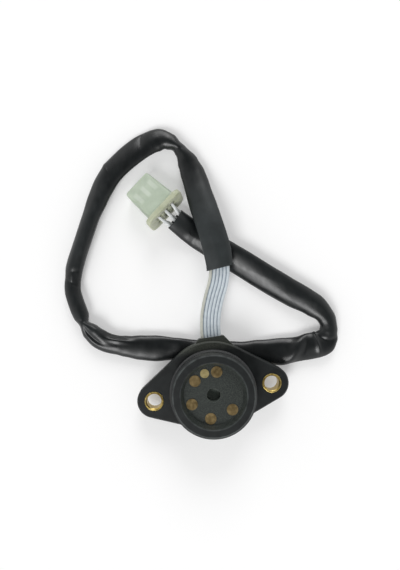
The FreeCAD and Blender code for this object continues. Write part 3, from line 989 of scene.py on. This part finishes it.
# Bushes
def make_bush(name, middle):
    """A pressed-in bush with a toothed outside and a plain bore."""
    outline = [
        (BUSH_BORE, BUSH_LOW + BUSH_CHAMFER, 0),
        (BUSH_BORE, BUSH_HIGH - BUSH_CHAMFER, 0),
        (BUSH_BORE + BUSH_CHAMFER, BUSH_HIGH, 0),
        (BUSH_RADIUS - TOOTH_DEPTH - TOOTH_EDGE, BUSH_HIGH, 0),
        (BUSH_RADIUS, BUSH_HIGH - TOOTH_EDGE, 1),
        (BUSH_RADIUS, BUSH_LOW + TOOTH_EDGE, 1),
        (BUSH_RADIUS - TOOTH_DEPTH - TOOTH_EDGE, BUSH_LOW, 0),
        (BUSH_BORE + BUSH_CHAMFER, BUSH_LOW, 0),
    ]
    around = POINTS_PER_TOOTH * TOOTH_COUNT
    points = []
    faces = []
    for step in range(around):
        turn = 2 * math.pi * step / around
        dip = TOOTH_DEPTH * (0.5 - 0.5 * math.cos(TOOTH_COUNT * turn))
        for radius, height, toothed in outline:
            reach = radius - dip * toothed
            points.append((middle + reach * math.cos(turn), reach * math.sin(turn), height))
    size = len(outline)
    for step in range(around):
        faces.extend(bridge(step * size, (step + 1) % around * size, size, True))
    piece = new_piece(name + "_toothed", points, faces, bush_finish)
    piece.data.polygons.foreach_set("use_smooth", [False] * len(piece.data.polygons))
    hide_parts(name)


# Seal
def make_seal():
    points = []
    faces = []
    for step in range(SEAL_AROUND):
        turn = 2 * math.pi * step / SEAL_AROUND
        out = Vector((math.cos(turn), math.sin(turn), 0))
        for part in range(SEAL_SIDES):
            angle = 2 * math.pi * part / SEAL_SIDES
            points.append(out * (SEAL_RING + SEAL_SECTION * math.cos(angle))
                          + UP * (SEAL_HEIGHT + SEAL_SECTION * math.sin(angle)))
    for step in range(SEAL_AROUND):
        following = (step + 1) % SEAL_AROUND
        faces.extend(bridge(step * SEAL_SIDES, following * SEAL_SIDES, SEAL_SIDES, True))
    piece = new_piece("seal_round", points, faces, rubber_finish)
    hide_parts("seal_ring")


make_seal()
make_bush("bush_left", -BOLT_SPACING / 2)
make_bush("bush_right", BOLT_SPACING / 2)
connector = make_connector()
sleeve, sleeve_path = make_sleeve()
ribbon, ribbon_path = make_ribbon()
wires = make_wires()


# Camera
def make_camera():
    data = bpy.data.cameras.new("camera")
    data.sensor_width = SENSOR
    data.lens = FOCAL_PIXELS * SENSOR / PHOTO_LONG_SIDE
    data.shift_x = FRAME_SHIFT[0] / PHOTO_LONG_SIDE
    data.shift_y = FRAME_SHIFT[1] / PHOTO_LONG_SIDE
    data.clip_start = NEAREST_SEEN * MM
    camera = bpy.data.objects.new("camera", data)
    camera.location = Vector(CAMERA_PLACE) * MM
    camera.rotation_euler = (0, 0, math.radians(CAMERA_ROLL))
    bpy.context.scene.collection.objects.link(camera)
    bpy.context.scene.camera = camera


# Floor, world and lamps
def seen_directly(nodes, links):
    """One for what the camera, a reflection or a clear body shows, and nought for lighting."""
    path = nodes.new("ShaderNodeLightPath")
    rays = path.outputs
    seen = combined(nodes, links, "MAXIMUM", rays["Is Camera Ray"], rays["Is Glossy Ray"])
    return combined(nodes, links, "MAXIMUM", seen, rays["Is Transmission Ray"])


def make_floor():
    mesh = bpy.data.meshes.new("floor")
    half = FLOOR_HALF * MM
    corners = [(-half, -half, 0), (half, -half, 0), (half, half, 0), (-half, half, 0)]
    mesh.from_pydata(corners, [], [[0, 1, 2, 3]])
    floor = bpy.data.objects.new("floor", mesh)
    floor.location.z = -FLOOR_DROP * MM
    bpy.context.scene.collection.objects.link(floor)
    material = bpy.data.materials.new("floor_white")
    material.use_nodes = True
    nodes = material.node_tree.nodes
    links = material.node_tree.links
    nodes.clear()
    plain = nodes.new("ShaderNodeBsdfDiffuse")
    plain.inputs["Color"].default_value = (FLOOR_SHADE, FLOOR_SHADE, FLOOR_SHADE, 1)
    soft = nodes.new("ShaderNodeBsdfDiffuse")
    soft.inputs["Color"].default_value = (FLOOR_SEEN_SHADE, FLOOR_SEEN_SHADE, FLOOR_SEEN_SHADE, 1)
    glow = nodes.new("ShaderNodeEmission")
    glow.inputs["Color"].default_value = (1, 1, 1, 1)
    glow.inputs["Strength"].default_value = FLOOR_GLOW
    both = nodes.new("ShaderNodeAddShader")
    links.new(soft.outputs[0], both.inputs[0])
    links.new(glow.outputs[0], both.inputs[1])
    mix = nodes.new("ShaderNodeMixShader")
    links.new(seen_directly(nodes, links), mix.inputs[0])
    links.new(plain.outputs[0], mix.inputs[1])
    links.new(both.outputs[0], mix.inputs[2])
    out = nodes.new("ShaderNodeOutputMaterial")
    links.new(mix.outputs[0], out.inputs["Surface"])
    mesh.materials.append(material)


def make_world():
    world = bpy.data.worlds.new("studio")
    bpy.context.scene.world = world
    world.use_nodes = True
    nodes = world.node_tree.nodes
    links = world.node_tree.links
    nodes.clear()
    place = nodes.new("ShaderNodeTexCoord")
    parts = nodes.new("ShaderNodeSeparateXYZ")
    links.new(place.outputs["Generated"], parts.inputs["Vector"])
    level = nodes.new("ShaderNodeMapRange")
    level.inputs["From Min"].default_value = WHITE_UP_TO
    level.inputs["From Max"].default_value = DARKEST_FROM
    level.inputs["To Min"].default_value = HORIZON_LIGHT
    level.inputs["To Max"].default_value = OVERHEAD_LIGHT
    links.new(parts.outputs["Z"], level.inputs["Value"])
    light = nodes.new("ShaderNodeBackground")
    light.inputs["Color"].default_value = (1, 1, 1, 1)
    links.new(level.outputs["Result"], light.inputs["Strength"])
    out = nodes.new("ShaderNodeOutputWorld")
    links.new(light.outputs[0], out.inputs["Surface"])


def make_lamp(name, toward, strength):
    """A broad soft light from far away, given by the direction that it comes from."""
    data = bpy.data.lights.new(name, "SUN")
    data.angle = math.radians(LAMP_SPREAD)
    data.energy = strength
    lamp = bpy.data.objects.new(name, data)
    lamp.location = Vector(toward).normalized()
    lamp.rotation_mode = "QUATERNION"
    lamp.rotation_quaternion = Vector(toward).to_track_quat("Z", "Y")
    bpy.context.scene.collection.objects.link(lamp)


make_camera()
make_floor()
make_world()
make_lamp("key", KEY_FROM, KEY_STRENGTH)
make_lamp("side", SIDE_FROM, SIDE_STRENGTH)
bpy.context.scene.view_settings.view_transform = "Standard"
